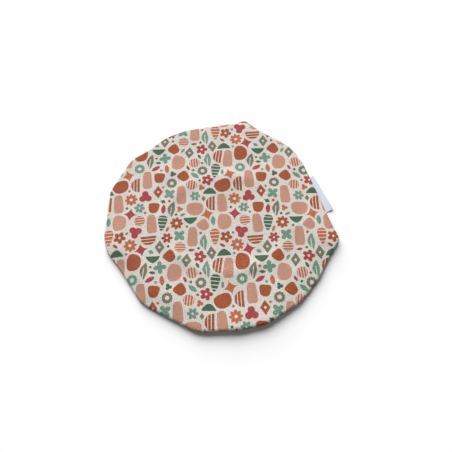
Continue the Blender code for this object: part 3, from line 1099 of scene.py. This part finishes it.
def build_label(label):
    """The label: one strip of tape, folded double, with its end curling off the table."""
    low = TAPE / 2 + TABLE_GAP
    bend = (TAPE + TAPE_GAP) / 2
    tip = label.tip - TAPE / 2 - bend
    leaves = label.tip - TAPE_LIFTED
    out = np.concatenate([np.linspace(label.start, leaves, 12)[:-1], np.linspace(leaves, tip, 14)])
    flat = np.zeros(len(out))
    turns = np.radians(np.linspace(-90, 90, 9)[1:-1])
    along = np.concatenate([out, tip + bend * np.cos(turns), out[::-1]])
    rise = np.concatenate([flat, bend + bend * np.sin(turns), flat + 2 * bend])
    path = np.concatenate([[0], np.cumsum(np.hypot(np.diff(along), np.diff(rise)))])
    across = np.linspace(label.left, label.right, 41)
    middle = (label.left + label.right) / 2
    share = (across - label.left) / (label.right - label.left)
    lift = TAPE_LIFT[0] + (TAPE_LIFT[1] - TAPE_LIFT[0]) * smooth(share)
    lift += 0.00012 * np.sin(share * 9 + 0.5)
    rows = []
    for a, r in zip(along, rise):
        curl = max(0.0, (a - leaves) / (tip - leaves)) ** 2
        plan = a * label.axes[0] + across[:, None] * label.axes[1]
        rows.append(np.column_stack([plan, low + r + curl * lift]))
    return tape_mesh(np.array(rows), path, across - middle)


def tape_mesh(points, along, across):
    """A closed mesh from a grid of points at the tape's mid surface."""
    normals = unit(np.cross(np.gradient(points, axis=0), np.gradient(points, axis=1)))
    rows, columns = points.shape[:2]
    layers = [points + side * TAPE / 2 * normals for side in (1, -1)]
    vertices = np.concatenate([layer.reshape(-1, 3) for layer in layers])
    number = np.arange(rows * columns).reshape(rows, columns)
    corners = (number[:-1, :-1], number[1:, :-1], number[1:, 1:], number[:-1, 1:])
    quads = np.stack(corners, axis=-1).reshape(-1, 4)
    below = rows * columns
    faces = [quads, quads[:, ::-1] + below]
    border = np.concatenate([number[0, :], number[1:, -1], number[-1, -2::-1], number[-2:0:-1, 0]])
    after = np.roll(border, -1)
    faces.append(np.stack([border, after, after + below, border + below], axis=1))
    mesh = new_mesh("label_tape", vertices, np.concatenate(faces).tolist())
    mesh.set_sharp_from_angle(angle=math.radians(50))
    grid = np.stack(np.broadcast_arrays(along[:, None], across[None, :], 0.0), axis=-1)
    put_attribute(mesh, "flat", "POINT", np.concatenate([grid.reshape(-1, 3)] * 2))
    return mesh


def tubes(name, lines, radii, sides=6):
    """One mesh of closed tubes, each along a line of points."""
    way = unit(np.gradient(lines, axis=1))
    side = unit(np.cross(way, [0, 0, 1.0]))
    turns = (2 * math.pi * np.arange(sides) / sides)[:, None]
    ring = np.cos(turns) * side[:, :, None] + np.sin(turns) * np.cross(side, way)[:, :, None]
    rings = (lines[:, :, None] + ring * radii[:, None, None]).reshape(len(lines), -1, 3)
    points = np.concatenate([lines[:, :1], rings, lines[:, -1:]], axis=1)
    last = points.shape[1] - 1
    faces = []
    for j in range(sides):
        k = (j + 1) % sides
        faces.append((0, 1 + k, 1 + j))
        for i in range(1, last - sides, sides):
            faces.append((i + j, i + k, i + sides + k, i + sides + j))
        faces.append((last, last - sides + j, last - sides + k))
    starts = range(0, len(lines) * (last + 1), last + 1)
    faces = [tuple(start + i for i in face) for start in starts for face in faces]
    return new_mesh(name, points.reshape(-1, 3), faces)


def build_stitches(cloth):
    """The casing's seam: stitches that follow the gathers on the skirt's face."""
    seam = cloth.parts.index("casing") - 1
    surface = cloth.points[seam] + (CLOTH / 2 + STITCH_HEIGHT) * cloth.normals[seam]
    closed = np.concatenate([surface, surface[:1]])
    starts = np.arange(0, COLUMNS, STITCH_COLUMNS)[:, None]
    columns = starts + np.linspace(0, STITCH_SHARE * STITCH_COLUMNS, STITCH_POINTS)
    lines = [np.interp(columns, np.arange(COLUMNS + 1), axis) for axis in closed.T]
    swell = np.sin(np.linspace(0.25, math.pi - 0.25, STITCH_POINTS)) ** 0.5
    return tubes("hem_stitches", np.stack(lines, axis=-1), THREAD_RADIUS * swell)


def build_stage():
    """The pale table, seen as white and still shaded by the cover."""
    corners = FLOOR_SIZE / 2 * np.array([(-1, -1, 0), (1, -1, 0), (1, 1, 0), (-1, 1, 0)])
    mesh = new_mesh("table_top", corners, [(0, 1, 2, 3)])
    material, tree, shader = new_material("pale_table")
    tree.nodes.remove(shader)
    diffuse = tree.nodes.new("ShaderNodeBsdfDiffuse")
    glow = tree.nodes.new("ShaderNodeEmission")
    rays = tree.nodes.new("ShaderNodeLightPath")
    seen = Term(tree, rays.outputs["Is Camera Ray"])
    pale = blend_colour(tree, seen, (FLOOR_BOUNCE,) * 3, (FLOOR_WHITE,) * 3)
    tree.links.new(pale, diffuse.inputs["Color"])
    (seen * FLOOR_GLOW).to(glow.inputs["Strength"])
    both = tree.nodes.new("ShaderNodeAddShader")
    for node, entry in zip((diffuse, glow), both.inputs):
        tree.links.new(node.outputs[0], entry)
    tree.links.new(both.outputs[0], tree.nodes["Material Output"].inputs["Surface"])
    mesh.materials.append(material)
    floor = add_object("table_top", mesh)


def build_light():
    """A wide soft lamp from behind on the left, and an even sky."""
    turn, rise = math.radians(LAMP_BEARING), math.radians(LAMP_ELEVATION)
    toward = Vector((*directions(turn) * math.cos(rise), math.sin(rise)))
    lamp = bpy.data.lights.new("window", "SUN")
    lamp.energy = LAMP_SHARE * math.pi / toward.z
    lamp.angle = math.radians(LAMP_WIDTH)
    add_object("window", lamp).rotation_euler = toward.to_track_quat("Z", "Y").to_euler()
    world = bpy.data.worlds.new("sky")
    world.use_nodes = True
    tree = world.node_tree
    sky = tree.nodes["Background"].inputs
    sky["Color"].default_value = (1, 1, 1, 1)
    rays = tree.nodes.new("ShaderNodeLightPath")
    seen = Term(tree, rays.outputs["Is Camera Ray"])
    for kind in ("Glossy", "Transmission"):
        seen = maths("MAXIMUM", seen, Term(tree, rays.outputs[f"Is {kind} Ray"]))
    (seen * LAMP_SHARE + (1 - LAMP_SHARE)).to(sky["Strength"])
    bpy.context.scene.world = world


def build_camera():
    """The camera, placed as the photograph's was."""
    back = -Vector(CAMERA_FORWARD).normalized()
    right = Vector(CAMERA_UP).cross(back).normalized()
    up = back.cross(right)
    camera = bpy.data.cameras.new("camera")
    camera.lens = camera.sensor_width * FOCAL_PIXELS / IMAGE_SIZE
    camera.clip_start = 0.01
    holder = add_object("camera", camera)
    turn = Matrix((right, up, back)).transposed().to_4x4()
    holder.matrix_world = Matrix.Translation(CAMERA_PLACE) @ turn
    bpy.context.scene.camera = holder
    bpy.context.scene.view_settings.view_transform = "Standard"


label = Label()
cloth = Cloth(label)
layout = Layout()

build_stage()
build_light()
build_camera()

cover_mesh = build_cover(cloth, layout)
cover = add_piece("printed_cover", cover_mesh, printed_cloth())
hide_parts("cover_cloth")

tape = add_piece("label_tape", build_label(label), satin_label())
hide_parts("folded_label")

add_piece("hem_stitches", build_stitches(cloth), sewing_thread())

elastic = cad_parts["elastic_band"]
elastic.data.materials.clear()
elastic.data.materials.append(woven_elastic(cloth))
